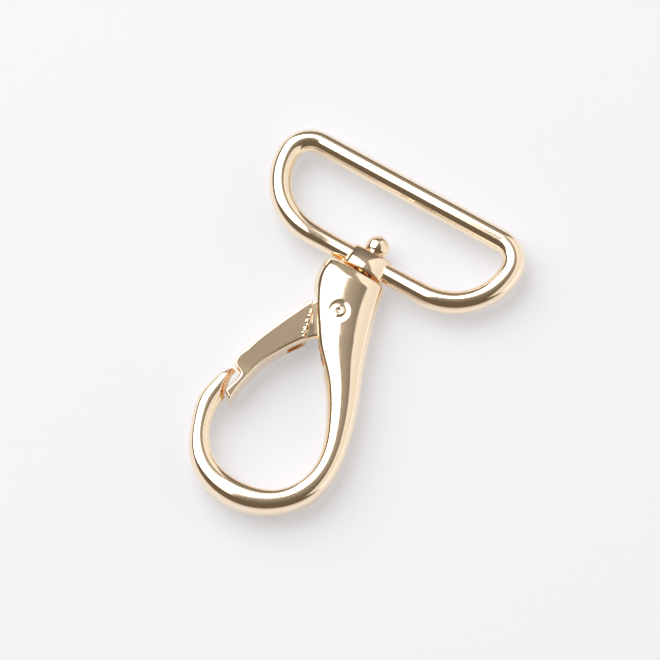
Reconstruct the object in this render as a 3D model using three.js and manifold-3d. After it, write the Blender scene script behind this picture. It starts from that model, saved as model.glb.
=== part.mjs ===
// Swivel snap hook for 38 mm webbing: a D-shaped strap loop turns on a ball-headed post, and a
// sprung gate closes the hook against the nose.  Millimetres, +Z up.  The hook lies on its face:
// X = 0 and Z = MID_Z is the swivel axis, +Y points to the strap bar, and Y = 0 is mid-length.

import * as THREE from 'three';
import { mergeVertices } from 'three/addons/utils/BufferGeometryUtils.js';
import Module from 'manifold-3d';

const wasm = await Module();
wasm.setup();

// ---- driving dimensions -------------------------------------------------------------------
const MID_Z = 3.2; // swivel axis and parting plane above the face that the hook lies on
const HALF_LENGTH = 31.75; // overall length is twice this
const RUNNING_GAP = 0.3; // between pieces that move on each other

const STRAP_WIDTH = 38; // webbing that the loop takes
const LOOP_WIRE = 3.8; // diameter at the strap bar
const ARM_WIRE = 3.4; // diameter where the arms meet the boss
const TAPER = { from: 6, to: 14 }; // distance from the swivel axis over which the wire thins
const LOOP_DEPTH = 14.5; // strap bar centreline to arm centreline
const BAR_CORNER = 4; // centreline radius where the bar turns down
const ARM_BEND = 10.5; // centreline radius where the sides turn in to the boss
const WIRE_SIDES = 12;

const BOSS_LENGTH = 3.9; // along the swivel axis
const BOSS_RADIUS = 2.9;
const BOSS_HALF_WIDTH = 5; // to where its shoulders meet the wire
const BOSS_SHOULDER = 1.5; // half height at the ends of the shoulders
const BOSS_TUCK = { from: 3, depth: 0.8 }; // the far side draws in beyond this distance from the axis
const POST_RADIUS = 1.3;
const POST_BORE = POST_RADIUS + RUNNING_GAP;
const BALL_RADIUS = 2.05;
const BALL_SEAT = 1.05; // ball centre above its flat underside
const TAIL_RADIUS = 1.75;
const TAIL_LENGTH = 0.65;
const TAIL_POCKET = 1.6; // room for the tail inside the head's end wall
const HEAD_GAP = 0.45; // between boss and head end

const HEAD_END_Y = 12.85;
const HEAD_WALL = 2.3; // thickness that the post passes through
const PIN = { x: 0.55, y: 5.15 };
const PIN_RADIUS = 1.0;
const PIN_BORE = PIN_RADIUS + RUNNING_GAP;
const PIN_HEAD_RADIUS = 1.5;
const PIN_HEAD_HEIGHT = 0.35;
const PIN_HEAD_SUNK = 0.05; // lower head above the face that the hook lies on
const RECESS_RADIUS = 2.0; // dished seat round each pin head
const RECESS_DEPTH = 0.6;
const SLOT = 3.5; // between the cheeks
const SLOT_RADIUS = 4.2; // round the gate's hub

const GATE_THICKNESS = 4.4;
const NECK_THICKNESS = 2.9; // part of the gate that runs between the cheeks
const HUB_RADIUS = 3.6;
const SPRING_POCKET_RADIUS = 2.9;
const SPRING_CEILING = 0.5; // top of the spring pocket above MID_Z
const CHANNEL_CEILING = 0.4; // top of the gate's underside channel above MID_Z

const SPRING_WIRE = 0.45;
const COIL_RADIUS = 1.85;
const WHOLE_TURNS = 3;
const COIL_BOTTOM = -1.15; // wire centre from MID_Z
const COIL_TOP = 0.05;
const LEG_LENGTH = 7.7;
const SPINE_LEG_DEG = -86; // direction of each leg in plan
const GATE_LEG_DEG = -116;

// Stations along the hook body from the head end, down the spine, round the ring to the nose.
// Each gives a point on the inner outline, one on the outer outline, and half the thickness.
const STATIONS = [
  { inner: [-6.15, 12.85], outer: [4.6, 12.85], half: 2.55 },
  { inner: [-6.35, 10.55], outer: [5.05, 11.05], half: MID_Z },
  { inner: [-5.65, 7.65], outer: [5.65, 8.55], half: MID_Z },
  { inner: [-4.15, 4.65], outer: [6.35, 6.15], half: MID_Z },
  { inner: [-2.15, 1.55], outer: [7.15, 3.65], half: MID_Z },
  { inner: [0.25, -1.75], outer: [8.25, 0.45], half: 3.1 },
  { inner: [3.25, -4.85], outer: [9.65, -3.05], half: 2.95 },
  { inner: [5.85, -8.25], outer: [11.15, -6.75], half: 2.75 },
  { inner: [7.95, -11.95], outer: [12.55, -10.95], half: 2.6 },
  { inner: [9.45, -15.55], outer: [13.55, -15.25], half: 2.5 },
  { inner: [9.95, -19.25], outer: [13.85, -19.65], half: 2.45 },
  { inner: [8.85, -23.15], outer: [12.65, -24.65], half: 2.4 },
  { inner: [6.35, -25.85], outer: [9.35, -28.75], half: 2.4 },
  { inner: [2.95, -27.05], outer: [4.75, -31.25], half: 2.4 },
  { inner: [-1.05, -27.15], outer: [-0.85, -31.7], half: 2.4 },
  { inner: [-4.45, -25.95], outer: [-5.55, -30.05], half: 2.4 },
  { inner: [-6.95, -23.35], outer: [-9.05, -26.65], half: 2.35 },
  { inner: [-8.25, -20.15], outer: [-11.2, -22.1], half: 2.3 },
  { inner: [-8.55, -16.75], outer: [-12.15, -17.75], half: 2.25 },
  { inner: [-8.45, -14.45], outer: [-11.6, -14.65], half: 2.2 },
  { inner: [-8.7, -12.7], outer: [-10.95, -12.75], half: 2.0 },
  { inner: [-9.0, -11.5], outer: [-10.1, -11.45], half: 1.4 },
];
const STEPS_PER_STATION = 3;
const SECTION_SIDES = 16;
const SECTION_POWER = 2.4; // 2 is an ellipse, more is squarer

// Gate outlines in plan: the full-thickness blade, the neck that enters the slot, and the
// channel that the spring lies in, open underneath and towards the spine.
const BLADE = [
  [-4.55, 4.25], [-6.85, -0.65], [-8.75, -5.65], [-9.95, -9.9], [-9.7, -10.75], [-8.2, -11.5],
  [-7.95, -12.4], [-8.7, -15.6], [-7.3, -16.5], [-7.1, -13.9], [-6.8, -12.1], [-6.35, -9.4],
  [-4.85, -5.75], [-2.85, -2.15], [-3.3, 0.55], [-4.1, 2.45],
];
const NECK = [
  [-3.15, 6.45], [-4.65, 4.35], [-6.55, 0.35], [-3.35, -3.05], [-1.25, 0.05], [1.65, 2.35],
];
const CHANNEL = [
  [-2.75, 4.75], [-5.45, -1.75], [-4.65, -4.35], [-2.25, -3.75], [3.15, 0.75], [3.15, 5.75],
];
// The clevis slot beyond its round end, and the step that the gate's tab closes into.
const SLOT_SIDE = [[-9.5, 6.55], [0.3, 6.55], [4.45, 5.65], [3.35, -1.25], [2.65, -4.65], [-9.5, -4.65]];
const NOSE_STEP = [
  [-9.45, -9.8], [-9.5, -11.4], [-9.75, -12.3], [-9.45, -14.8], [-9.15, -15.9], [-7.75, -17.2],
  [-7.2, -17.6], [-5, -17.6], [-5, -9.8],
];

// ---- colours --------------------------------------------------------------------------------
const lightGold = { color: 0xd9bd93, roughness: 0.12, metalness: 1 };
const springSteel = { color: 0x9a948c, roughness: 0.3, metalness: 1 };

// ---- solids ---------------------------------------------------------------------------------
function signedVolume(geometry) {
  const position = geometry.getAttribute('position');
  const index = geometry.getIndex();
  const a = new THREE.Vector3();
  const b = new THREE.Vector3();
  const c = new THREE.Vector3();
  let sum = 0;
  for (let i = 0; i < index.count; i += 3) {
    a.fromBufferAttribute(position, index.getX(i));
    b.fromBufferAttribute(position, index.getX(i + 1));
    c.fromBufferAttribute(position, index.getX(i + 2));
    sum += a.dot(b.cross(c));
  }
  return sum / 6;
}

// Merges shared vertices and turns the faces outwards.
function closed(source) {
  const bare = source.clone();
  bare.deleteAttribute('normal');
  bare.deleteAttribute('uv');
  const geometry = mergeVertices(bare, 1e-4);
  if (signedVolume(geometry) < 0) {
    const order = geometry.getIndex().array;
    for (let i = 0; i < order.length; i += 3) {
      [order[i], order[i + 1]] = [order[i + 1], order[i]];
    }
  }
  return geometry;
}

function solid(source) {
  const geometry = closed(source);
  const vertProperties = new Float32Array(geometry.getAttribute('position').array);
  const triVerts = new Uint32Array(geometry.getIndex().array);
  return new wasm.Manifold(new wasm.Mesh({ numProp: 3, vertProperties, triVerts }));
}

function toGeometry(manifold) {
  const mesh = manifold.getMesh();
  const geometry = new THREE.BufferGeometry();
  geometry.setAttribute('position', new THREE.BufferAttribute(new Float32Array(mesh.vertProperties), 3));
  geometry.setIndex(new THREE.BufferAttribute(new Uint32Array(mesh.triVerts), 1));
  return geometry;
}

// Skins a row of closed sections; a ring of them joins up, otherwise both ends are capped.
function loft(sections, ring) {
  const sides = sections[0].length;
  const points = sections.flat();
  const triangles = [];
  const rows = ring ? sections.length : sections.length - 1;
  for (let row = 0; row < rows; row += 1) {
    const next = (row + 1) % sections.length;
    for (let side = 0; side < sides; side += 1) {
      const a = row * sides + side;
      const b = row * sides + ((side + 1) % sides);
      const c = next * sides + side;
      const d = next * sides + ((side + 1) % sides);
      triangles.push(a, b, d, a, d, c);
    }
  }
  if (!ring) {
    const last = (sections.length - 1) * sides;
    for (let side = 1; side < sides - 1; side += 1) {
      triangles.push(0, side + 1, side);
      triangles.push(last, last + side, last + side + 1);
    }
  }
  const geometry = new THREE.BufferGeometry().setFromPoints(points);
  geometry.setIndex(triangles);
  return geometry;
}

// A flat outline in plan, extruded between two heights measured from MID_Z.
function plate(points, low, high) {
  const shape = new THREE.Shape(points.map(([x, y]) => new THREE.Vector2(x, y)));
  const geometry = new THREE.ExtrudeGeometry(shape, { depth: high - low, bevelEnabled: false });
  return solid(geometry.translate(0, 0, MID_Z + low));
}

function pinCylinder(radius, low, high, sides) {
  const geometry = new THREE.CylinderGeometry(radius, radius, high - low, sides);
  geometry.rotateX(Math.PI / 2);
  return solid(geometry.translate(PIN.x, PIN.y, MID_Z + (low + high) / 2));
}

function swivelCylinder(radius, fromY, toY, sides) {
  const geometry = new THREE.CylinderGeometry(radius, radius, toY - fromY, sides);
  return solid(geometry.translate(0, (fromY + toY) / 2, MID_Z));
}

// ---- strap loop -----------------------------------------------------------------------------
const BAR_Y = HALF_LENGTH - LOOP_WIRE / 2;
const ARM_Y = BAR_Y - LOOP_DEPTH;
const SIDE_X = (STRAP_WIDTH + LOOP_WIRE) / 2;
const BOSS_NEAR_Y = HEAD_END_Y + HEAD_GAP;
const BOSS_FAR_Y = BOSS_NEAR_Y + BOSS_LENGTH;

// Centreline of the loop, anticlockwise from the bar's left end, with its outward normals.
function loopCentreline() {
  const stops = [];
  const arc = (cx, cy, radius, fromDeg, toDeg, steps) => {
    for (let i = 0; i <= steps; i += 1) {
      const angle = THREE.MathUtils.degToRad(fromDeg + ((toDeg - fromDeg) * i) / steps);
      const out = new THREE.Vector3(Math.cos(angle), Math.sin(angle), 0);
      stops.push({ at: new THREE.Vector3(cx, cy, MID_Z).addScaledVector(out, radius), out });
    }
  };
  arc(-SIDE_X + BAR_CORNER, BAR_Y - BAR_CORNER, BAR_CORNER, 90, 180, 5);
  arc(-SIDE_X + ARM_BEND, ARM_Y + ARM_BEND, ARM_BEND, 180, 270, 8);
  arc(SIDE_X - ARM_BEND, ARM_Y + ARM_BEND, ARM_BEND, 270, 360, 8);
  arc(SIDE_X - BAR_CORNER, BAR_Y - BAR_CORNER, BAR_CORNER, 0, 90, 5);
  return stops.filter((stop, i) => i === 0 || stop.at.distanceTo(stops[i - 1].at) > 1e-6);
}

// The wire's flats lie at its nominal radius, so that the bar has a true face for the strap.
function loopWire() {
  const sections = loopCentreline().map(({ at, out }) => {
    const isArm = at.y < ARM_Y + ARM_BEND;
    const full = isArm ? THREE.MathUtils.smoothstep(Math.abs(at.x), TAPER.from, TAPER.to) : 1;
    const flatRadius = THREE.MathUtils.lerp(ARM_WIRE, LOOP_WIRE, full) / 2;
    const cornerRadius = flatRadius / Math.cos(Math.PI / WIRE_SIDES);
    const section = [];
    for (let side = 0; side < WIRE_SIDES; side += 1) {
      const angle = ((side + 0.5) * 2 * Math.PI) / WIRE_SIDES;
      const point = at.clone().addScaledVector(out, cornerRadius * Math.cos(angle));
      section.push(point.setZ(MID_Z + cornerRadius * Math.sin(angle)));
    }
    return section;
  });
  return solid(loft(sections, true));
}

// Barrel round the swivel axis, with shoulders that run down to the wire on both sides.
function boss() {
  const sections = [];
  const spans = 8;
  for (let i = 0; i <= spans; i += 1) {
    const x = -BOSS_HALF_WIDTH + (2 * BOSS_HALF_WIDTH * i) / spans;
    const shoulder = 0.5 + 0.5 * Math.cos((Math.PI * x) / BOSS_HALF_WIDTH);
    const high = THREE.MathUtils.lerp(BOSS_SHOULDER, BOSS_RADIUS, shoulder ** 0.7);
    const tuck = THREE.MathUtils.smoothstep(Math.abs(x), BOSS_TUCK.from, BOSS_HALF_WIDTH);
    const farY = BOSS_FAR_Y - BOSS_TUCK.depth * tuck;
    sections.push([
      new THREE.Vector3(x, BOSS_NEAR_Y, MID_Z - high), new THREE.Vector3(x, farY, MID_Z - high),
      new THREE.Vector3(x, farY, MID_Z + high), new THREE.Vector3(x, BOSS_NEAR_Y, MID_Z + high),
    ]);
  }
  return solid(loft(sections, false));
}

function strapLoop() {
  const bore = swivelCylinder(POST_BORE, ARM_Y - 5, ARM_Y + 5, 24);
  return toGeometry(loopWire().add(boss()).subtract(bore));
}

// ---- swivel post ----------------------------------------------------------------------------
const SEAT_Y = BOSS_FAR_Y + RUNNING_GAP; // underside of the ball head
const TAIL_TOP_Y = HEAD_END_Y - HEAD_WALL - RUNNING_GAP;

function swivelPost() {
  const ballY = SEAT_Y + BALL_SEAT;
  const profile = [new THREE.Vector2(0, TAIL_TOP_Y - TAIL_LENGTH)];
  profile.push(new THREE.Vector2(TAIL_RADIUS * 0.75, TAIL_TOP_Y - TAIL_LENGTH));
  profile.push(new THREE.Vector2(TAIL_RADIUS, TAIL_TOP_Y - TAIL_LENGTH * 0.6));
  profile.push(new THREE.Vector2(TAIL_RADIUS, TAIL_TOP_Y));
  profile.push(new THREE.Vector2(POST_RADIUS, TAIL_TOP_Y));
  profile.push(new THREE.Vector2(POST_RADIUS, SEAT_Y));
  const steps = 8;
  const startAngle = -Math.asin((ballY - SEAT_Y) / BALL_RADIUS);
  for (let i = 0; i <= steps; i += 1) {
    const angle = startAngle + ((Math.PI / 2 - startAngle) * i) / steps;
    const radius = i === steps ? 0 : BALL_RADIUS * Math.cos(angle);
    profile.push(new THREE.Vector2(radius, ballY + BALL_RADIUS * Math.sin(angle)));
  }
  return closed(new THREE.LatheGeometry(profile, 20).translate(0, 0, MID_Z));
}

// ---- hook body ------------------------------------------------------------------------------
function outline(name) {
  const points = STATIONS.map((station) => new THREE.Vector3(...station[name], MID_Z));
  return new THREE.CatmullRomCurve3(points, false, 'centripetal');
}

function bodySections() {
  const inner = outline('inner');
  const outer = outline('outer');
  const spans = STATIONS.length - 1;
  const flat = Math.PI / 2 - Math.PI / SECTION_SIDES;
  const reach = Math.sin(flat) ** (2 / SECTION_POWER);
  const sections = [];
  for (let step = 0; step <= spans * STEPS_PER_STATION; step += 1) {
    const along = step / STEPS_PER_STATION;
    const span = Math.min(Math.floor(along), spans - 1);
    const left = inner.getPoint(along / spans);
    const right = outer.getPoint(along / spans);
    const half = THREE.MathUtils.lerp(STATIONS[span].half, STATIONS[span + 1].half, along - span) / reach;
    const centre = left.clone().add(right).multiplyScalar(0.5);
    const across = right.clone().sub(left).multiplyScalar(0.5);
    const section = [];
    for (let side = 0; side < SECTION_SIDES; side += 1) {
      const angle = ((side + 0.5) * 2 * Math.PI) / SECTION_SIDES;
      const c = Math.cos(angle);
      const s = Math.sin(angle);
      const wide = Math.sign(c) * Math.abs(c) ** (2 / SECTION_POWER);
      const high = Math.sign(s) * Math.abs(s) ** (2 / SECTION_POWER);
      section.push(centre.clone().addScaledVector(across, wide).setZ(MID_Z + half * high));
    }
    sections.push(section);
  }
  return sections;
}

function clevisSlot() {
  const side = plate(SLOT_SIDE, -SLOT / 2, SLOT / 2);
  return side.add(pinCylinder(SLOT_RADIUS, -SLOT / 2, SLOT / 2, 32));
}

function hookBody() {
  const wallInnerY = HEAD_END_Y - HEAD_WALL;
  let body = solid(loft(bodySections(), false));
  body = body.subtract(clevisSlot());
  body = body.subtract(plate(NOSE_STEP, -MID_Z - 1, MID_Z + 1));
  body = body.subtract(swivelCylinder(POST_BORE, wallInnerY - 1, HEAD_END_Y + 1, 24));
  body = body.subtract(swivelCylinder(TAIL_RADIUS + RUNNING_GAP, wallInnerY - TAIL_POCKET, wallInnerY, 24));
  body = body.subtract(pinCylinder(PIN_BORE, -MID_Z - 1, MID_Z + 1, 24));
  body = body.subtract(pinCylinder(RECESS_RADIUS, MID_Z - RECESS_DEPTH, MID_Z + 1, 24));
  body = body.subtract(pinCylinder(RECESS_RADIUS, -MID_Z - 1, -MID_Z + RECESS_DEPTH, 24));
  return toGeometry(body);
}

// ---- gate, its pin and its spring -----------------------------------------------------------
function gate() {
  const blade = plate(BLADE, -GATE_THICKNESS / 2, GATE_THICKNESS / 2);
  const neck = plate(NECK, -NECK_THICKNESS / 2, NECK_THICKNESS / 2);
  const hub = pinCylinder(HUB_RADIUS, -NECK_THICKNESS / 2, NECK_THICKNESS / 2, 32);
  let lever = blade.add(neck).add(hub);
  lever = lever.subtract(plate(CHANNEL, -MID_Z, CHANNEL_CEILING));
  lever = lever.subtract(pinCylinder(SPRING_POCKET_RADIUS, -MID_Z, SPRING_CEILING, 32));
  lever = lever.subtract(pinCylinder(PIN_BORE, -MID_Z, MID_Z, 24));
  return toGeometry(lever);
}

function gatePin() {
  const lowest = -MID_Z + PIN_HEAD_SUNK;
  const shank = pinCylinder(PIN_RADIUS, lowest + PIN_HEAD_SUNK, MID_Z - PIN_HEAD_SUNK, 20);
  const top = pinCylinder(PIN_HEAD_RADIUS, MID_Z - PIN_HEAD_HEIGHT, MID_Z, 20);
  const bottom = pinCylinder(PIN_HEAD_RADIUS, lowest, lowest + PIN_HEAD_HEIGHT, 20);
  return toGeometry(shank.add(top).add(bottom));
}

// Torsion spring: a straight leg along the spine, the coil round the pin, and a leg in the gate.
class SpringPath extends THREE.Curve {
  getPoint(t) {
    const start = THREE.MathUtils.degToRad(SPINE_LEG_DEG + 90);
    const end = THREE.MathUtils.degToRad(GATE_LEG_DEG - 90 + 360 * WHOLE_TURNS);
    const coilLength = (end - start) * COIL_RADIUS;
    const total = coilLength + 2 * LEG_LENGTH;
    const along = t * total;
    const centre = new THREE.Vector3(PIN.x, PIN.y, MID_Z);
    const radial = (angle) => new THREE.Vector3(Math.cos(angle), Math.sin(angle), 0);
    const tangent = (angle) => new THREE.Vector3(-Math.sin(angle), Math.cos(angle), 0);
    const bottom = centre.clone().setZ(MID_Z + COIL_BOTTOM);
    const top = centre.clone().setZ(MID_Z + COIL_TOP);
    if (along < LEG_LENGTH) {
      return bottom.addScaledVector(radial(start), COIL_RADIUS)
        .addScaledVector(tangent(start), along - LEG_LENGTH);
    }
    if (along > LEG_LENGTH + coilLength) {
      return top.addScaledVector(radial(end), COIL_RADIUS)
        .addScaledVector(tangent(end), along - LEG_LENGTH - coilLength);
    }
    const turned = (along - LEG_LENGTH) / coilLength;
    return bottom.lerp(top, turned).addScaledVector(radial(start + (end - start) * turned), COIL_RADIUS);
  }
}

function gateSpring() {
  const ring = new THREE.Shape();
  ring.absarc(0, 0, SPRING_WIRE / 2, 0, 2 * Math.PI);
  const wire = new THREE.ExtrudeGeometry(ring, {
    steps: 80, curveSegments: 6, extrudePath: new SpringPath(), bevelEnabled: false,
  });
  return closed(wire);
}

// ---- assembly -------------------------------------------------------------------------------
function piece(name, geometry, finish) {
  const mesh = new THREE.Mesh(geometry, new THREE.MeshStandardMaterial(finish));
  mesh.name = name;
  return mesh;
}

const hookSide = new THREE.Group();
hookSide.add(piece('hook_body', hookBody(), lightGold));
hookSide.add(piece('swivel_post', swivelPost(), lightGold));
hookSide.add(piece('gate_pin', gatePin(), lightGold));
hookSide.add(piece('gate_spring', gateSpring(), springSteel));

const swivelHook = new THREE.Group();
swivelHook.add(hookSide);
swivelHook.add(piece('gate', gate(), lightGold));
swivelHook.add(piece('strap_loop', strapLoop(), lightGold));

export default swivelHook;
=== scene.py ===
import math

import bmesh
import bpy
import numpy as np
from mathutils import Matrix, Vector, noise


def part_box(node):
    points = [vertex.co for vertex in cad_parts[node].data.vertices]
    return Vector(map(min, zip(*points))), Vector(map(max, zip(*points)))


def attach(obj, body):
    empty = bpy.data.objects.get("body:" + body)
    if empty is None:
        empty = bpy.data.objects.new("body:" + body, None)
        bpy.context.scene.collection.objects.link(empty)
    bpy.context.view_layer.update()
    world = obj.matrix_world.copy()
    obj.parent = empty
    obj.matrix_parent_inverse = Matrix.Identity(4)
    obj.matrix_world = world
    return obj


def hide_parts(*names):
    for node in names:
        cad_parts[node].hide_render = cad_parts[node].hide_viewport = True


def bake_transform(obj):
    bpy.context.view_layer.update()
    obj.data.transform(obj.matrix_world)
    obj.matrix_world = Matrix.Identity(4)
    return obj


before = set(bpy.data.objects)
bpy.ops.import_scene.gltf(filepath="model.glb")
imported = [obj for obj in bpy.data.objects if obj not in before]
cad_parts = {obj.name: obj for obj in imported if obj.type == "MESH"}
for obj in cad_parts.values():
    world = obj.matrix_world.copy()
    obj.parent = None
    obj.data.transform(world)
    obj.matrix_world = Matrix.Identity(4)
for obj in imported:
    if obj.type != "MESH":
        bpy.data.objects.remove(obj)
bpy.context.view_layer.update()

# ---- the frame's own places, in millimetres ---------------------------------------------------
MM = 0.001


def box_mm(node):
    low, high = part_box(node)
    return np.array(low) / MM, np.array(high) / MM


hook_low, hook_high = box_mm("hook_body")
loop_high = box_mm("strap_loop")[1]
pin_low, pin_high = box_mm("gate_pin")
post_high = box_mm("swivel_post")[1]

MID_Z = (hook_low[2] + hook_high[2]) / 2  # swivel axis and parting plane
PIN_X, PIN_Y = (pin_low[:2] + pin_high[:2]) / 2
HEAD_END_Y = hook_high[1]

# ---- driving dimensions, in millimetres -------------------------------------------------------
RUNNING_GAP = 0.3  # between pieces that move on each other
PAST = 1  # how far a cutting tool stands past the faces that it cuts through
FLOOR_TRIM = 0.02  # off the body's half thickness, so that its leaning faces stay clear of the floor

LOOP_WIRE = 3.8  # diameter at the strap bar
ARM_WIRE = 3.4  # diameter where the arms meet the boss
TAPER = (6, 14)  # distance from the swivel axis over which the wire thins
LOOP_DEPTH = 14.5  # strap bar centreline to arm centreline
BAR_CORNER = 4
ARM_BEND = 10.5
BAR_Y = loop_high[1] - LOOP_WIRE / 2
ARM_Y = BAR_Y - LOOP_DEPTH
SIDE_X = loop_high[0] - LOOP_WIRE / 2

HEAD_GAP = 0.45  # between boss and head end
BOSS_LENGTH = 3.9  # along the swivel axis
BOSS_RADIUS = 2.9
BOSS_HALF_WIDTH = 4.7
BOSS_SHOULDER = 0.8  # half height at the ends of its shoulders
BOSS_CROWN = 3.6  # half width of its crown
BOSS_FALL = 0.45  # share of its height that is lost at the far side
BOSS_EDGE = 0.35  # rounding of its edges
BOSS_TUCK_FROM = 3  # distance from the swivel axis beyond which its ends draw in
BOSS_FAR_TUCK = 0.8  # how far its far side has drawn in at the ends
BOSS_NEAR_TUCK = 0.6  # and its near side
BOSS_NEAR_Y = HEAD_END_Y + HEAD_GAP
BOSS_FAR_Y = BOSS_NEAR_Y + BOSS_LENGTH
POST_RADIUS = 1.3
POST_BORE = 1.6
BALL_RADIUS = 2.05
BALL_Y = post_high[1] - BALL_RADIUS
SEAT_Y = BOSS_FAR_Y + RUNNING_GAP  # flat underside of the ball
TAIL_RADIUS = 1.75
TAIL_LENGTH = 0.65
TAIL_RIM = 0.4  # length of its full-radius part, before it narrows
TAIL_TIP = 0.75  # share of its radius left at the tip
TAIL_POCKET = 1.6  # room for the tail inside the head's end wall
HEAD_WALL = 2.3  # thickness that the post passes through
POLE = 0.02  # radius of the small flat in the middle of the tail's tip

PIN_BORE = 1.2
RIVET_RADIUS = 1.15
RIVET_SHANK = 2.75  # half length of its straight part
RIVET_RIM = 2.95  # height at which its domed end starts
DOME = 0.12  # height of that end
PEENED_RING = (0.66, 0.17, 0.07)  # radius, width and height
DIMPLE = (0.3, 0.16)  # radius and depth
DISH_RADIUS = 2.05
DISH_CLEARANCE = 0.1  # flat of the dish round the rivet
DISH_DEPTH = 0.13
SLOT = 3.5  # between the cheeks
SLOT_RADIUS = 4.2  # round the gate's hub
HUB_RADIUS = 3.6
NECK_THICKNESS = 2.9  # part of the gate that runs between the cheeks
GATE_THICKNESS = 4.4
SPRING_POCKET = 2.9  # radius
SPRING_CEILING = 0.5  # top of the spring pocket above MID_Z
CHANNEL_CEILING = 0.4  # top of the gate's underside channel above MID_Z

SPRING_WIRE = 0.45
COIL_RADIUS = 1.85
COIL_BOTTOM = -1.15  # wire centre from MID_Z
COIL_TOP = 0.05
WHOLE_TURNS = 3
LEG_LENGTH = 7.7
SPINE_LEG_DEG = -86  # direction of each leg in plan
GATE_LEG_DEG = -116

# Stations from the head end, down the spine and round the ring to the nose: a point on the inner
# outline, one on the outer outline, and half the thickness.
STATIONS = [
    ((-6.15, 12.85), (4.6, 12.85), 2.65),
    ((-6.35, 10.55), (5.05, 11.05), 3.2),
    ((-5.65, 7.65), (5.65, 8.55), 3.2),
    ((-4.15, 4.65), (6.35, 6.15), 3.2),
    ((-2.15, 1.55), (7.15, 3.65), 3.2),
    ((0.25, -1.75), (8.25, 0.45), 3.1),
    ((3.25, -4.85), (9.65, -3.05), 2.95),
    ((5.85, -8.25), (11.15, -6.75), 2.75),
    ((7.95, -11.95), (12.55, -10.95), 2.6),
    ((9.45, -15.55), (13.55, -15.25), 2.5),
    ((9.95, -19.25), (13.85, -19.65), 2.45),
    ((8.85, -23.15), (12.65, -24.65), 2.4),
    ((6.35, -25.85), (9.35, -28.75), 2.4),
    ((2.95, -27.05), (4.75, -31.25), 2.4),
    ((-1.05, -27.15), (-0.85, -31.7), 2.4),
    ((-4.45, -25.95), (-5.55, -30.05), 2.4),
    ((-6.95, -23.35), (-9.05, -26.65), 2.35),
    ((-8.25, -20.15), (-11.2, -22.1), 2.3),
    ((-8.55, -16.75), (-12.15, -17.75), 2.25),
    ((-8.45, -14.45), (-11.6, -14.65), 2.2),
    ((-8.7, -12.7), (-10.95, -12.75), 2.0),
    ((-9.0, -11.5), (-10.1, -11.45), 1.4),
]
SECTION_POWER = 2.4  # 2 is an ellipse, more is squarer

# The clevis slot beyond its round end, and the step that the gate's tab closes into: first its
# walls, then the open side where the tab comes in.
SLOT_SIDE = [(-9.5, 6.55), (0.3, 6.55), (4.45, 5.65), (3.35, -1.25), (2.65, -4.65), (-9.5, -4.65)]
NOSE_STEP = [
    (-9.45, -9.8), (-9.5, -11.4), (-9.75, -12.3), (-9.45, -14.8), (-9.15, -15.9), (-7.75, -17.2),
    (-7.2, -17.6), (-5, -17.6), (-5, -9.8),
]
STEP_WALLS = NOSE_STEP[:7]
STEP_MOUTH_X = -7  # the walls lie on the nose's side of this, the open side beyond it

# Under the gate: the channel is open underneath, and the groove that carries the spring's leg on
# towards the tab has a floor.
CHANNEL = [(-2.75, 4.75), (-4.6, 0.3), (-1.6, -0.8), (3.15, 0.75), (3.15, 5.75)]
GROOVE = [
    (-3.4, 1.5), (-4.9, -0.4), (-4.75, -1.5), (-4.3, -2.6), (-4.6, -4.3), (-2.25, -3.75), (0.3, -0.5),
]
GROOVE_FLOOR = -1.65

# The gate from its hub end to its tab: a point on the outer edge and one on the inner edge.
GATE_STATIONS = [
    ((-3.15, 6.45), (1.65, 2.35)),
    ((-4.65, 4.15), (0.15, 0.85)),
    ((-5.75, 1.75), (-1.35, -0.55)),
    ((-6.85, -0.75), (-2.75, -2.35)),
    ((-7.85, -3.25), (-3.9, -4.15)),
    ((-8.75, -5.7), (-4.9, -5.95)),
    ((-9.4, -8.0), (-5.75, -7.75)),
    ((-9.98, -9.9), (-6.35, -9.6)),
    ((-9.8, -10.7), (-6.5, -10.3)),
    ((-9.1, -11.2), (-6.6, -10.9)),
    ((-8.2, -11.65), (-6.75, -11.5)),
    ((-7.95, -12.4), (-6.9, -12.3)),
    ((-8.25, -13.8), (-7.15, -13.9)),
    ((-8.7, -15.6), (-7.25, -16.6)),
]


# ---- curves and solids ------------------------------------------------------------------------
def spline(knots, values, at):
    """Natural cubic spline through values at knots, read at each place in at."""
    step = np.diff(knots)
    slope = np.diff(values, axis=0) / step[:, None]
    system = np.eye(len(knots))
    right = np.zeros_like(values)
    for i in range(1, len(knots) - 1):
        system[i, i - 1 : i + 2] = step[i - 1], 2 * (step[i - 1] + step[i]), step[i]
        right[i] = 6 * (slope[i] - slope[i - 1])
    bend = np.linalg.solve(system, right)
    span = np.clip(np.searchsorted(knots, at, side="right") - 1, 0, len(step) - 1)
    b = ((at - knots[span]) / step[span])[:, None]
    a = 1 - b
    cubic = (a**3 - a) * bend[span] + (b**3 - b) * bend[span + 1]
    return a * values[span] + b * values[span + 1] + cubic * (step[span] ** 2)[:, None] / 6


def smoothstep(low, high, x):
    t = np.clip((x - low) / (high - low), 0, 1)
    return t * t * (3 - 2 * t)


def rounding(distance, radius):
    """How far a surface falls back at a distance from an edge that is rounded to a radius."""
    d = np.clip(distance, 0, radius)
    return radius - np.sqrt(radius**2 - (radius - d) ** 2)


def distance_to_line(points, line):
    """Distance in plan from each point to a polyline."""
    best = np.full(len(points), np.inf)
    for start, end in zip(line[:-1], line[1:]):
        start, along = np.array(start, float), np.subtract(end, start)
        t = np.clip((points - start) @ along / (along @ along), 0, 1)
        best = np.minimum(best, np.linalg.norm(points - start - t[:, None] * along, axis=1))
    return best


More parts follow.
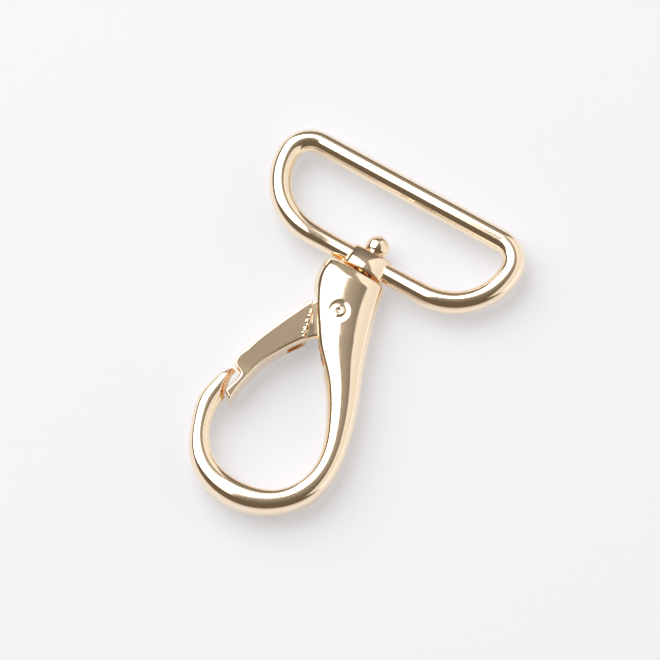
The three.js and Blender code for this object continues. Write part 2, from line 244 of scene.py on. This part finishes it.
def inside(points, outline):
    """True for each point in plan that lies inside a closed outline."""
    result = np.zeros(len(points), bool)
    for (x1, y1), (x2, y2) in zip(outline, outline[1:] + outline[:1]):
        crosses = (y1 > points[:, 1]) != (y2 > points[:, 1])
        if y1 != y2:
            result ^= crosses & (points[:, 0] < (x2 - x1) * (points[:, 1] - y1) / (y2 - y1) + x1)
    return result


def superellipse(half_wide, half_high, power, sides):
    """Closed section with evenly spaced points, as rows of (across, up)."""
    turn = np.linspace(0, 2 * math.pi, 721)

    def at(angle):
        c, s = np.cos(angle), np.sin(angle)
        wide = half_wide * np.sign(c) * np.abs(c) ** (2 / power)
        return np.stack([wide, half_high * np.sign(s) * np.abs(s) ** (2 / power)], axis=1)

    length = np.concatenate([[0], np.cumsum(np.linalg.norm(np.diff(at(turn), axis=0), axis=1))])
    return at(np.interp(np.arange(sides) * length[-1] / sides, length, turn))


def rounded_box(half_wide, half_high, radius, flat_steps, side_steps, bulge):
    """Closed section with rounded corners and slightly bulged flanks, as rows of (across, up)."""
    radius = min(radius, half_wide * 0.9)
    points = []
    for quarter in range(4):
        sx, sy = ((1, 1), (-1, 1), (-1, -1), (1, -1))[quarter]
        for i in range(9):
            angle = math.pi / 2 * (quarter + i / 8)
            x = sx * (half_wide - radius) + radius * math.cos(angle)
            points.append((x, sy * (half_high - radius) + radius * math.sin(angle)))
        steps = flat_steps if quarter % 2 == 0 else side_steps
        nx, ny = ((-1, 1), (-1, -1), (1, -1), (1, 1))[quarter]
        start = points[-1]
        end = (nx * (half_wide - (radius if quarter % 2 == 0 else 0)),
               ny * (half_high - (0 if quarter % 2 == 0 else radius)))
        for i in range(1, steps):
            t = i / steps
            points.append((start[0] + (end[0] - start[0]) * t, start[1] + (end[1] - start[1]) * t))
    section = np.array(points)
    lean = 1 - (section[:, 1] / half_high) ** 2
    section[:, 0] += np.sign(section[:, 0]) * bulge * lean * (np.abs(section[:, 0]) > half_wide * 0.5)
    return section


def mesh_piece(name, points, faces):
    mesh = bpy.data.meshes.new(name)
    mesh.from_pydata((np.asarray(points) * MM).tolist(), [], faces)
    piece = bpy.data.objects.new(name, mesh)
    bpy.context.scene.collection.objects.link(piece)
    work = bmesh.new()
    work.from_mesh(mesh)
    bmesh.ops.remove_doubles(work, verts=work.verts, dist=1e-8)
    bmesh.ops.recalc_face_normals(work, faces=work.faces)
    if work.calc_volume(signed=True) < 0:
        bmesh.ops.reverse_faces(work, faces=work.faces)
    work.to_mesh(mesh)
    work.free()
    return piece


def loft(name, sections, ring=False):
    """Skins a row of closed sections. A ring of them joins up, otherwise both ends are capped."""
    sections = np.asarray(sections)
    rows, sides = sections.shape[:2]
    faces = []
    for row in range(rows if ring else rows - 1):
        here, after = row * sides, (row + 1) % rows * sides
        for side in range(sides):
            beside = (side + 1) % sides
            faces.append((here + side, here + beside, after + beside, after + side))
    if not ring:
        faces.append(tuple(range(sides)))
        faces.append(tuple((rows - 1) * sides + side for side in range(sides)))
    return mesh_piece(name, sections.reshape(-1, 3), faces)


def turned(name, profile, sides, place):
    """Turns a profile of (radius, along) round an axis; place maps (u, v, along) into the frame."""
    angles = np.arange(sides) * 2 * math.pi / sides
    sections = [[place(r * math.cos(a), r * math.sin(a), h) for a in angles] for r, h in profile]
    return loft(name, sections)


def on_pin(u, v, along):
    return PIN_X + u, PIN_Y + v, MID_Z + along


def on_swivel(u, v, along):
    return u, along, MID_Z + v


def pin_cylinder(radius, low, high, sides=96):
    return turned("tool", [(radius, low), (radius, high)], sides, on_pin)


def swivel_cylinder(radius, low, high, sides=64):
    return turned("tool", [(radius, low), (radius, high)], sides, on_swivel)


def prism(outline, low, high):
    """A flat outline in plan, between two heights measured from MID_Z."""
    return loft("tool", [[(x, y, MID_Z + z) for x, y in outline] for z in (low, high)])


def boolean(piece, tool, operation):
    modifier = piece.modifiers.new("join", "BOOLEAN")
    modifier.operation = operation
    modifier.solver = "MANIFOLD"
    modifier.object = tool
    graph = bpy.context.evaluated_depsgraph_get()
    mesh = bpy.data.meshes.new_from_object(piece.evaluated_get(graph))
    piece.modifiers.clear()
    piece.data = mesh
    bpy.data.objects.remove(tool)


def cut(piece, *tools):
    for tool in tools:
        boolean(piece, tool, "DIFFERENCE")


def join(piece, *tools):
    for tool in tools:
        boolean(piece, tool, "UNION")


def smooth(piece, degrees=35):
    piece.data.shade_smooth()
    piece.data.set_sharp_from_angle(angle=math.radians(degrees))


def along_stations(inner, outer, spacing, dense_ends):
    """Places between matching points on two outlines, evenly spaced and closer at the dense ends."""
    chord = np.linalg.norm(np.diff((inner + outer) / 2, axis=0), axis=1)
    knots = np.concatenate([[0], np.cumsum(chord)])
    at = np.linspace(0, knots[-1], int(knots[-1] / spacing))
    fine = np.array([0.01, 0.03, 0.06, 0.1, 0.15, 0.2, 0.27, 0.35])
    extra = [fine] if dense_ends[0] else []
    if dense_ends[1]:
        extra.append(knots[-1] - fine)
    return knots, np.unique(np.concatenate([at, *extra]))


# ---- hook body --------------------------------------------------------------------------------
BODY_SIDES = 160
CHEEK_EDGE = 0.32  # rounding of the cheeks' edges at the slot
STEP_EDGE = 0.3  # rounding along the nose step
STEP_BULGE = (0.38, 0.08)  # how far the step's walls stand proud at the parting plane, in X and Y
BULGE_HEIGHT = 1.9  # half height of that bulge
HEAD_EDGE = 0.35  # rounding of the head end and the nose's tip
BODY_LEAN = math.tan(math.radians(1.7))  # its faces fall away towards the spine side


def hook_body_surface():
    inner = np.array([s[0] for s in STATIONS], float)
    outer = np.array([s[1] for s in STATIONS], float)
    halves = np.array([[s[2]] for s in STATIONS], float)
    knots, at = along_stations(inner, outer, 0.16, (True, True))
    left = spline(knots, inner, at)
    right = spline(knots, outer, at)
    half = np.minimum(spline(knots, halves, at)[:, 0], MID_Z - FLOOR_TRIM)
    sections = []
    for row in range(len(at)):
        centre = (left[row] + right[row]) / 2
        across = right[row] - centre
        wide = np.linalg.norm(across)
        back = rounding(at[row], HEAD_EDGE) + rounding(knots[-1] - at[row], HEAD_EDGE)
        section = superellipse(wide - back, half[row] - back, SECTION_POWER, BODY_SIDES)
        plan = centre + section[:, :1] * across / wide
        plan += cheek_fallback(left[row], section)[:, None] * across / wide
        lean = 1 - BODY_LEAN * (plan[:, 0] - centre[0]) / half[row]
        sections.append(np.column_stack([plan, MID_Z + section[:, 1] * lean]))
    points = np.array(sections)
    flat = points.reshape(-1, 3)
    up = np.sign(flat[:, 2] - MID_Z)
    flat[:, 2] -= up * (step_fallback(flat[:, :2]) + dish_fallback(flat[:, :2]))
    return loft("hook_body_shell", flat.reshape(points.shape))


def cheek_fallback(edge, section):
    """Rounds the cheeks where their flank meets the slot."""
    reach = smoothstep(-5.4, -4.4, edge[1]) * (1 - smoothstep(6.2, 7.4, edge[1]))
    off_slot = np.abs(section[:, 1]) - SLOT / 2
    return np.where(section[:, 0] < 0, rounding(off_slot, CHEEK_EDGE) * reach, 0)


def step_fallback(plan):
    """Rounds the faces of the nose along the step's walls."""
    gap = np.where(inside(plan, NOSE_STEP), 0, distance_to_line(plan, STEP_WALLS))
    return rounding(gap, STEP_EDGE)


def dish_fallback(plan):
    """Sinks a shallow dish round each end of the pin."""
    r = np.hypot(plan[:, 0] - PIN_X, plan[:, 1] - PIN_Y)
    return DISH_DEPTH * (1 - smoothstep(RIVET_RADIUS + DISH_CLEARANCE, DISH_RADIUS, r))


def nose_step():
    """The step's cutter: its walls stand proud by STEP_BULGE at the parting plane."""
    edge = np.array(NOSE_STEP)
    bulged = edge + np.array(STEP_BULGE) * (edge[:, :1] < STEP_MOUTH_X)
    end = MID_Z + PAST
    rows = []
    for plan, z in ((edge, -end), (edge, -BULGE_HEIGHT), (bulged, 0), (edge, BULGE_HEIGHT), (edge, end)):
        rows.append(np.column_stack([plan, np.full(len(plan), MID_Z + z)]))
    return loft("tool", rows)


def make_hook_body():
    body = hook_body_surface()
    wall_y = HEAD_END_Y - HEAD_WALL
    cut(
        body,
        prism(SLOT_SIDE, -SLOT / 2, SLOT / 2),
        pin_cylinder(SLOT_RADIUS, -SLOT / 2, SLOT / 2),
        nose_step(),
        swivel_cylinder(POST_BORE, wall_y - PAST, HEAD_END_Y + PAST),
        swivel_cylinder(TAIL_RADIUS + RUNNING_GAP, wall_y - TAIL_POCKET, wall_y),
        pin_cylinder(PIN_BORE, -MID_Z - PAST, MID_Z + PAST),
    )
    smooth(body)
    return body


# ---- strap loop -------------------------------------------------------------------------------
def loop_centreline():
    stops = []
    corners = [
        (-SIDE_X + BAR_CORNER, BAR_Y - BAR_CORNER, BAR_CORNER, 90),
        (-SIDE_X + ARM_BEND, ARM_Y + ARM_BEND, ARM_BEND, 180),
        (SIDE_X - ARM_BEND, ARM_Y + ARM_BEND, ARM_BEND, 270),
        (SIDE_X - BAR_CORNER, BAR_Y - BAR_CORNER, BAR_CORNER, 0),
    ]
    for i, (x, y, radius, start) in enumerate(corners):
        steps = int(radius * math.pi / 2 / 0.22)
        for step in range(steps + 1):
            angle = math.radians(start + 90 * step / steps)
            out = np.array([math.cos(angle), math.sin(angle), 0])
            stops.append((np.array([x, y, MID_Z]) + radius * out, out))
        end, out = stops[-1]
        x2, y2, radius2, start2 = corners[(i + 1) % len(corners)]
        angle2 = math.radians(start2)
        goal = np.array([x2 + radius2 * math.cos(angle2), y2 + radius2 * math.sin(angle2), MID_Z])
        steps = int(np.linalg.norm(goal - end) / 0.4)
        for step in range(1, steps):
            stops.append((end + (goal - end) * step / steps, out))
    return [s for i, s in enumerate(stops) if i == 0 or np.linalg.norm(s[0] - stops[i - 1][0]) > 1e-4]


def make_strap_loop():
    turn = np.arange(64) * 2 * math.pi / 64
    sections = []
    for at, out in loop_centreline():
        full = smoothstep(*TAPER, abs(at[0])) if at[1] < ARM_Y + ARM_BEND else 1
        radius = (ARM_WIRE + (LOOP_WIRE - ARM_WIRE) * full) / 2
        sections.append(at + radius * (np.cos(turn)[:, None] * out + np.sin(turn)[:, None] * (0, 0, 1)))
    loop = loft("strap_loop_wire", sections, ring=True)
    join(loop, boss())
    cut(loop, swivel_cylinder(POST_BORE, ARM_Y - 5, ARM_Y + 5))
    smooth(loop)
    return loop


def boss():
    """Barrel round the swivel axis, lower at its far side, with shoulders down to the wire."""
    rows = []
    for x in np.linspace(-BOSS_HALF_WIDTH, BOSS_HALF_WIDTH, 91):
        crown = math.sqrt(max(0.0, 1 - (x / BOSS_CROWN) ** 2))
        high = BOSS_SHOULDER + (BOSS_RADIUS - BOSS_SHOULDER) * crown
        tuck = smoothstep(BOSS_TUCK_FROM, BOSS_HALF_WIDTH, abs(x))
        far = BOSS_FAR_Y - BOSS_FAR_TUCK * tuck
        near = BOSS_NEAR_Y + BOSS_NEAR_TUCK * tuck
        section = rounded_box((far - near) / 2, high, BOSS_EDGE, 16, 16, 0)
        y = (far + near) / 2 + section[:, 0]
        fall = 1 - BOSS_FALL * np.clip((y - BOSS_NEAR_Y) / BOSS_LENGTH, 0, 1) ** 2
        rows.append(np.column_stack([np.full(len(y), x), y, MID_Z + section[:, 1] * fall]))
    return loft("tool", rows)


# ---- swivel post, pin and spring --------------------------------------------------------------
def make_swivel_post():
    tail_top = HEAD_END_Y - HEAD_WALL - RUNNING_GAP
    tail_end = tail_top - TAIL_LENGTH
    profile = [(POLE, tail_end), (TAIL_RADIUS * TAIL_TIP, tail_end), (TAIL_RADIUS, tail_top - TAIL_RIM)]
    profile += [(TAIL_RADIUS, tail_top), (POST_RADIUS, tail_top), (POST_RADIUS, SEAT_Y)]
    start = -math.asin((BALL_Y - SEAT_Y) / BALL_RADIUS)
    for i in range(41):
        angle = start + (math.pi / 2 - 0.01 - start) * i / 40
        profile.append((BALL_RADIUS * math.cos(angle), BALL_Y + BALL_RADIUS * math.sin(angle)))
    post = turned("swivel_post_ball", profile, 72, on_swivel)
    smooth(post)
    return post


def make_gate_pin():
    """Rivet whose domed ends are peened to a ring with a dimple in the middle."""
    ring_radius, ring_width, ring_height = PEENED_RING
    dimple_radius, dimple_depth = DIMPLE
    top = [(RIVET_RADIUS, RIVET_SHANK), (RIVET_RADIUS, RIVET_RIM)]
    for i in range(1, 41):
        r = RIVET_RADIUS * (1 - i / 40.5)
        dome = DOME * (1 - (r / RIVET_RADIUS) ** 2) ** 0.5
        dome += ring_height * math.exp(-(((r - ring_radius) / ring_width) ** 2))
        dimple = dimple_depth * math.exp(-((r / dimple_radius) ** 4))
        top.append((r, RIVET_RIM + dome - dimple))
    bottom = [(r, -h) for r, h in reversed(top)]
    pin = turned("gate_pin_rivet", bottom + top, 64, on_pin)
    smooth(pin)
    return pin


def spring_path():
    start = math.radians(SPINE_LEG_DEG + 90)
    end = math.radians(GATE_LEG_DEG - 90 + 360 * WHOLE_TURNS)
    stops = []

    def stop(angle, height, along):
        out = np.array([math.cos(angle), math.sin(angle), 0])
        ahead = np.array([-math.sin(angle), math.cos(angle), 0])
        return np.array([PIN_X, PIN_Y, MID_Z + height]) + COIL_RADIUS * out + along * ahead

    for i in range(30):
        stops.append(stop(start, COIL_BOTTOM, -LEG_LENGTH * (1 - i / 30)))
    for i in range(240):
        t = i / 240
        stops.append(stop(start + (end - start) * t, COIL_BOTTOM + (COIL_TOP - COIL_BOTTOM) * t, 0))
    for i in range(31):
        stops.append(stop(end, COIL_TOP, LEG_LENGTH * i / 30))
    return np.array(stops)


def make_gate_spring():
    path = spring_path()
    ahead = np.gradient(path, axis=0)
    ahead /= np.linalg.norm(ahead, axis=1)[:, None]
    side = np.cross(ahead, (0, 0, 1))
    side /= np.linalg.norm(side, axis=1)[:, None]
    up = np.cross(side, ahead)
    turn = np.arange(14) * 2 * math.pi / 14
    rows = []
    for i in range(len(path)):
        ring = np.cos(turn)[:, None] * side[i] + np.sin(turn)[:, None] * up[i]
        rows.append(path[i] + SPRING_WIRE / 2 * ring)
    spring = loft("gate_spring_wire", rows)
    smooth(spring)
    return spring


# ---- gate -------------------------------------------------------------------------------------
GATE_EDGE = 0.38  # rounding of its long edges
TAB_EDGE = 0.3  # rounding of its tab's end
GATE_BULGE = 0.1  # how far its flanks stand proud at mid-height
NECK_SLOPE = 0.08  # share of the thickness that the neck gains on its way out of the slot
CAST_SKIN = 0.07  # rough patch left by the casting beside the cheeks, share of the thickness
CAST_GRAIN = 3.2  # lumps of that patch to a millimetre
GATE_LEAN = math.tan(math.radians(3.5))  # its faces close towards the inner edge
# Degrees that a point can turn before it meets the cheek: the gate thickens over the first pair, and
# the rough patch comes in and goes out over the other two.  It also ends along the gate, in Y.
SWING_RELIEF = (18.4, 22)
CAST_STARTS = (18.4, 21)
CAST_ENDS = (26, 29)
CAST_ENDS_Y = (-1.6, -0.4)
SWING_LIMIT = 30  # as far as the swing is tested


def swing_to_cheek(plan):
    """Degrees that each point of the gate can turn about the pin before the cheeks cover it."""
    beside_gate = STATIONS[:9]
    inner = np.array([s[0] for s in beside_gate], float)
    outer = np.array([s[1] for s in beside_gate], float)
    knots, at = along_stations(inner, outer, 0.8, (False, False))
    outline = np.concatenate([spline(knots, inner, at), spline(knots, outer, at)[::-1]])
    outline = [tuple(p) for p in outline]
    free = np.full(len(plan), float(SWING_LIMIT))
    for degrees in range(SWING_LIMIT, -1, -1):
        angle = math.radians(degrees)
        x, y = plan[:, 0] - PIN_X, plan[:, 1] - PIN_Y
        turned_x = PIN_X + x * math.cos(angle) - y * math.sin(angle)
        turned_y = PIN_Y + x * math.sin(angle) + y * math.cos(angle)
        free[inside(np.column_stack([turned_x, turned_y]), outline)] = degrees
    return free


def make_gate():
    outer = np.array([s[0] for s in GATE_STATIONS], float)
    inner = np.array([s[1] for s in GATE_STATIONS], float)
    knots, at = along_stations(inner, outer, 0.12, (True, True))
    left = spline(knots, outer, at)
    right = spline(knots, inner, at)
    sections = []
    for row in range(len(at)):
        centre = (left[row] + right[row]) / 2
        across = right[row] - centre
        wide = np.linalg.norm(across)
        back = rounding(knots[-1] - at[row], TAB_EDGE)
        section = rounded_box(wide - back, GATE_THICKNESS / 2 - back, GATE_EDGE, 36, 14, GATE_BULGE)
        plan = centre + section[:, :1] * across / wide
        lean = 1 - GATE_LEAN * section[:, 0] / (GATE_THICKNESS / 2)
        sections.append(np.column_stack([plan, section[:, 1] * lean]))
    points = np.array(sections)
    flat = points.reshape(-1, 3)
    thin = NECK_THICKNESS / GATE_THICKNESS
    swing = swing_to_cheek(flat[:, :2])
    cast = np.array([noise.noise(Vector((x * CAST_GRAIN, y * CAST_GRAIN, z))) for x, y, z in flat])
    patch = smoothstep(*CAST_STARTS, swing) * (1 - smoothstep(*CAST_ENDS, swing))
    patch *= smoothstep(*CAST_ENDS_Y, flat[:, 1])
    thin += NECK_SLOPE * np.clip(swing / SWING_RELIEF[0], 0, 1)
    flat[:, 2] *= thin + (1 - thin) * smoothstep(*SWING_RELIEF, swing) + CAST_SKIN * cast * patch
    flat[:, 2] += MID_Z
    gate = loft("gate_lever", flat.reshape(points.shape))
    join(gate, pin_cylinder(HUB_RADIUS, -NECK_THICKNESS / 2, NECK_THICKNESS / 2))
    cut(
        gate,
        prism(CHANNEL, -MID_Z, CHANNEL_CEILING),
        prism(GROOVE, GROOVE_FLOOR, CHANNEL_CEILING),
        pin_cylinder(SPRING_POCKET, -MID_Z, SPRING_CEILING),
        pin_cylinder(PIN_BORE, -MID_Z, MID_Z),
    )
    smooth(gate)
    return gate


# ---- materials --------------------------------------------------------------------------------
def new_material(name):
    material = bpy.data.materials.new(name)
    material.use_nodes = True
    tree = material.node_tree
    return material, tree.nodes, tree.links, tree.nodes["Principled BSDF"]


def add_noise(nodes, links, place, scale, detail):
    texture = nodes.new("ShaderNodeTexNoise")
    texture.inputs["Scale"].default_value = scale
    texture.inputs["Detail"].default_value = detail
    links.new(place, texture.inputs["Vector"])
    return texture.outputs["Fac"]


def map_range(nodes, links, value, low, high):
    ranged = nodes.new("ShaderNodeMapRange")
    ranged.inputs["To Min"].default_value = low
    ranged.inputs["To Max"].default_value = high
    links.new(value, ranged.inputs["Value"])
    return ranged.outputs["Result"]


def metal(name, colour, deep, rough, bump):
    """Plated or drawn metal: faint colour drift, uneven gloss and a fine skin."""
    material, nodes, links, shader = new_material(name)
    place = nodes.new("ShaderNodeTexCoord").outputs["Object"]
    shader.inputs["Metallic"].default_value = 1
    drift = add_noise(nodes, links, place, 180, 3)
    mix = nodes.new("ShaderNodeMix")
    mix.data_type = "RGBA"
    mix.inputs["A"].default_value = (*deep, 1)
    mix.inputs["B"].default_value = (*colour, 1)
    links.new(map_range(nodes, links, drift, 0.2, 1), mix.inputs["Factor"])
    links.new(mix.outputs["Result"], shader.inputs["Base Color"])
    gloss = add_noise(nodes, links, place, 900, 4)
    links.new(map_range(nodes, links, gloss, *rough), shader.inputs["Roughness"])
    skin = add_noise(nodes, links, place, 2600, 3)
    relief = nodes.new("ShaderNodeBump")
    relief.inputs["Strength"].default_value = bump
    relief.inputs["Distance"].default_value = 0.00003
    links.new(skin, relief.inputs["Height"])
    links.new(relief.outputs["Normal"], shader.inputs["Normal"])
    return material


def floor_material():
    material, nodes, links, shader = new_material("studio_sweep")
    place = nodes.new("ShaderNodeTexCoord").outputs["Object"]
    shader.inputs["Base Color"].default_value = (0.545, 0.553, 0.595, 1)
    shader.inputs["Emission Color"].default_value = (0.97, 0.98, 1, 1)
    shader.inputs["Emission Strength"].default_value = 0.375
    shader.inputs["Specular IOR Level"].default_value = 0.2
    grain = add_noise(nodes, links, place, 400, 2)
    links.new(map_range(nodes, links, grain, 0.75, 0.85), shader.inputs["Roughness"])
    return material


# ---- studio -----------------------------------------------------------------------------------
CAMERA_AZIMUTH = 30.17
CAMERA_ELEVATION = 70.64
CAMERA_DISTANCE = 1.0
PIXEL = 0.1625 * MM  # width of one of the picture's 660 pixels at the object
PICTURE = 660
AIM_RIGHT = 1.604 * MM  # the picture's middle from the swivel axis at mid-length
AIM_UP = 1.781 * MM
FLOOR_REACH = 2.5  # metres from the middle to each side


# The room's light rises from the camera's side, low down, to overhead and behind.
ROOM_LEAN = (-0.25, 0.4, 0.68)
ROOM_STOPS = [
    (0.0, (0.15, 0.115, 0.08)),
    (0.45, (0.16, 0.125, 0.09)),
    (0.62, (0.22, 0.19, 0.155)),
    (0.72, (0.29, 0.26, 0.22)),
    (0.79, (0.42, 0.37, 0.31)),
]


# The pale sweep that the floor runs into shows as a low band, highest on the camera's side.
SWEEP_LEAN = (-0.1, 0.17, 1)
SWEEP_STOPS = [(0.04, (1, 1, 1)), (0.14, (0, 0, 0))]
SWEEP_COLOUR = (0.72, 0.64, 0.58, 1)


def make_camera():
    a, e = math.radians(CAMERA_AZIMUTH), math.radians(CAMERA_ELEVATION)
    right = Vector((math.cos(a), math.sin(a), 0))
    back = Vector((math.sin(a) * math.cos(e), -math.cos(a) * math.cos(e), math.sin(e)))
    up = back.cross(right)
    data = bpy.data.cameras.new("camera")
    data.sensor_width = 36
    data.lens = data.sensor_width * CAMERA_DISTANCE / (PICTURE * PIXEL)
    data.clip_start = 0.05
    camera = bpy.data.objects.new("camera", data)
    camera.location = Vector((0, 0, MID_Z * MM)) + back * CAMERA_DISTANCE + right * AIM_RIGHT + up * AIM_UP
    camera.rotation_euler = Matrix((right, up, back)).transposed().to_euler()
    bpy.context.scene.collection.objects.link(camera)
    bpy.context.scene.camera = camera


def softbox(name, azimuth, elevation, roll, distance, wide, high, glow, colour=(1, 1, 1)):
    """Area light facing the object. Its azimuth runs from +X towards +Y, glow is its brightness, and
    its width and height are given at a distance of one metre."""
    a, e, r = (math.radians(angle) for angle in (azimuth, elevation, roll))
    towards = Vector((math.cos(a) * math.cos(e), math.sin(a) * math.cos(e), math.sin(e)))
    level = Vector((-math.sin(a), math.cos(a), 0))
    steep = towards.cross(level)
    across = math.cos(r) * level + math.sin(r) * steep
    data = bpy.data.lights.new(name, "AREA")
    data.shape = "RECTANGLE"
    data.size, data.size_y = wide * distance, high * distance
    data.energy = glow * math.pi * data.size * data.size_y
    data.color = colour
    light = bpy.data.objects.new(name, data)
    light.location = towards * distance
    light.rotation_euler = Matrix((across, towards.cross(across), towards)).transposed().to_euler()
    bpy.context.scene.collection.objects.link(light)


def make_floor():
    mesh = bpy.data.meshes.new("studio_floor")
    corners = [(x * FLOOR_REACH, y * FLOOR_REACH, 0) for x, y in ((-1, -1), (1, -1), (1, 1), (-1, 1))]
    mesh.from_pydata(corners, [], [(0, 1, 2, 3)])
    floor = bpy.data.objects.new("studio_floor", mesh)
    bpy.context.scene.collection.objects.link(floor)
    mesh.materials.append(floor_material())


def add_ramp(nodes, links, value, stops):
    ramp = nodes.new("ShaderNodeValToRGB")
    while len(ramp.color_ramp.elements) < len(stops):
        ramp.color_ramp.elements.new(0.5)
    for element, (position, colour) in zip(ramp.color_ramp.elements, stops):
        element.position = position
        element.color = (*colour, 1)
    links.new(value, ramp.inputs["Fac"])
    return ramp.outputs["Color"]


def make_room():
    world = bpy.data.worlds.new("studio_room")
    world.use_nodes = True
    nodes, links = world.node_tree.nodes, world.node_tree.links
    direction = nodes.new("ShaderNodeTexCoord").outputs["Generated"]
    heights = []
    for lean in (ROOM_LEAN, SWEEP_LEAN):
        dot = nodes.new("ShaderNodeVectorMath")
        dot.operation = "DOT_PRODUCT"
        dot.inputs[1].default_value = lean
        links.new(direction, dot.inputs[0])
        heights.append(dot.outputs["Value"])
    mix = nodes.new("ShaderNodeMix")
    mix.data_type = "RGBA"
    links.new(add_ramp(nodes, links, heights[1], SWEEP_STOPS), mix.inputs["Factor"])
    links.new(add_ramp(nodes, links, heights[0], ROOM_STOPS), mix.inputs["A"])
    mix.inputs["B"].default_value = SWEEP_COLOUR
    links.new(mix.outputs["Result"], nodes["Background"].inputs["Color"])
    bpy.context.scene.world = world


# ---- assembly ---------------------------------------------------------------------------------
GAP_MARGIN = 0.05  # past the swivel gap's two faces
GAP_END = 0.2  # the painted bounce-light gold stops this far inside the ends of the boss's crown
STEEP = 0.6  # a gap's face has more than this of its normal along Y, a step's wall less than this along Z
STEP_REACH = 0.5  # from the step's walls
FACES_TAB = 0.2  # how far a wall's face has to turn towards the tab


def paint_bounce_light_on_recesses(piece, shade):
    """Paints warm bounce light and shade, as a deeper orange gold, into the faces inside the swivel gap
    and along the nose step.
    """
    piece.data.materials.append(shade)
    polygons = piece.data.polygons
    centre = np.array([p.center for p in polygons]) / MM
    normal = np.array([p.normal for p in polygons])
    between = (centre[:, 1] > HEAD_END_Y - GAP_MARGIN) & (centre[:, 1] < BOSS_NEAR_Y + GAP_MARGIN)
    under_boss = np.abs(centre[:, 0]) < BOSS_CROWN - GAP_END
    in_gap = between & under_boss & (np.abs(normal[:, 1]) > STEEP)
    wall = distance_to_line(centre[:, :2], STEP_WALLS[:6]) < STEP_REACH
    on_step = wall & (np.abs(normal[:, 2]) < STEEP) & (normal[:, 0] > FACES_TAB)
    for index in np.nonzero(in_gap | on_step)[0]:
        polygons[int(index)].material_index = 1


gold = metal("light_gold_plate", (1.0, 0.865, 0.69), (0.97, 0.815, 0.62), (0.07, 0.13), 0.06)
# painted bounce light and shade: a deeper orange gold standing in for the warm light that bounces between
# gold faces in the swivel gap and on the nose step
bounce_light_gold = metal("light_gold_plate_painted_bounce_light", (0.93, 0.62, 0.3), (0.86, 0.52, 0.22), (0.1, 0.16), 0.06)
steel = metal("spring_steel", (0.62, 0.6, 0.57), (0.5, 0.48, 0.45), (0.22, 0.35), 0.25)

for maker, node, body in [
    (make_hook_body, "hook_body", "hook"),
    (make_swivel_post, "swivel_post", "hook"),
    (make_gate_pin, "gate_pin", "hook"),
    (make_gate, "gate", "gate"),
    (make_strap_loop, "strap_loop", "loop"),
]:
    piece = maker()
    piece.data.materials.clear()
    piece.data.materials.append(gold)
    # paints bounce light and shade into the swivel gap and along the nose step
    if node in ("hook_body", "strap_loop"):
        paint_bounce_light_on_recesses(piece, bounce_light_gold)
    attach(piece, body)
    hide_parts(node)

spring = make_gate_spring()
spring.data.materials.append(steel)
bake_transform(spring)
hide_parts("gate_spring")

make_camera()
make_floor()
make_room()
softbox("key", 168.2, 50.5, 12.8, 1.2, 1.27, 1.15, 2.6)
softbox("reflector", 40, 28, 0, 1.2, 2.0, 1.1, 0.75, (1, 0.97, 0.94))

scene = bpy.context.scene
scene.view_settings.view_transform = "Standard"
scene.cycles.glossy_bounces = 12
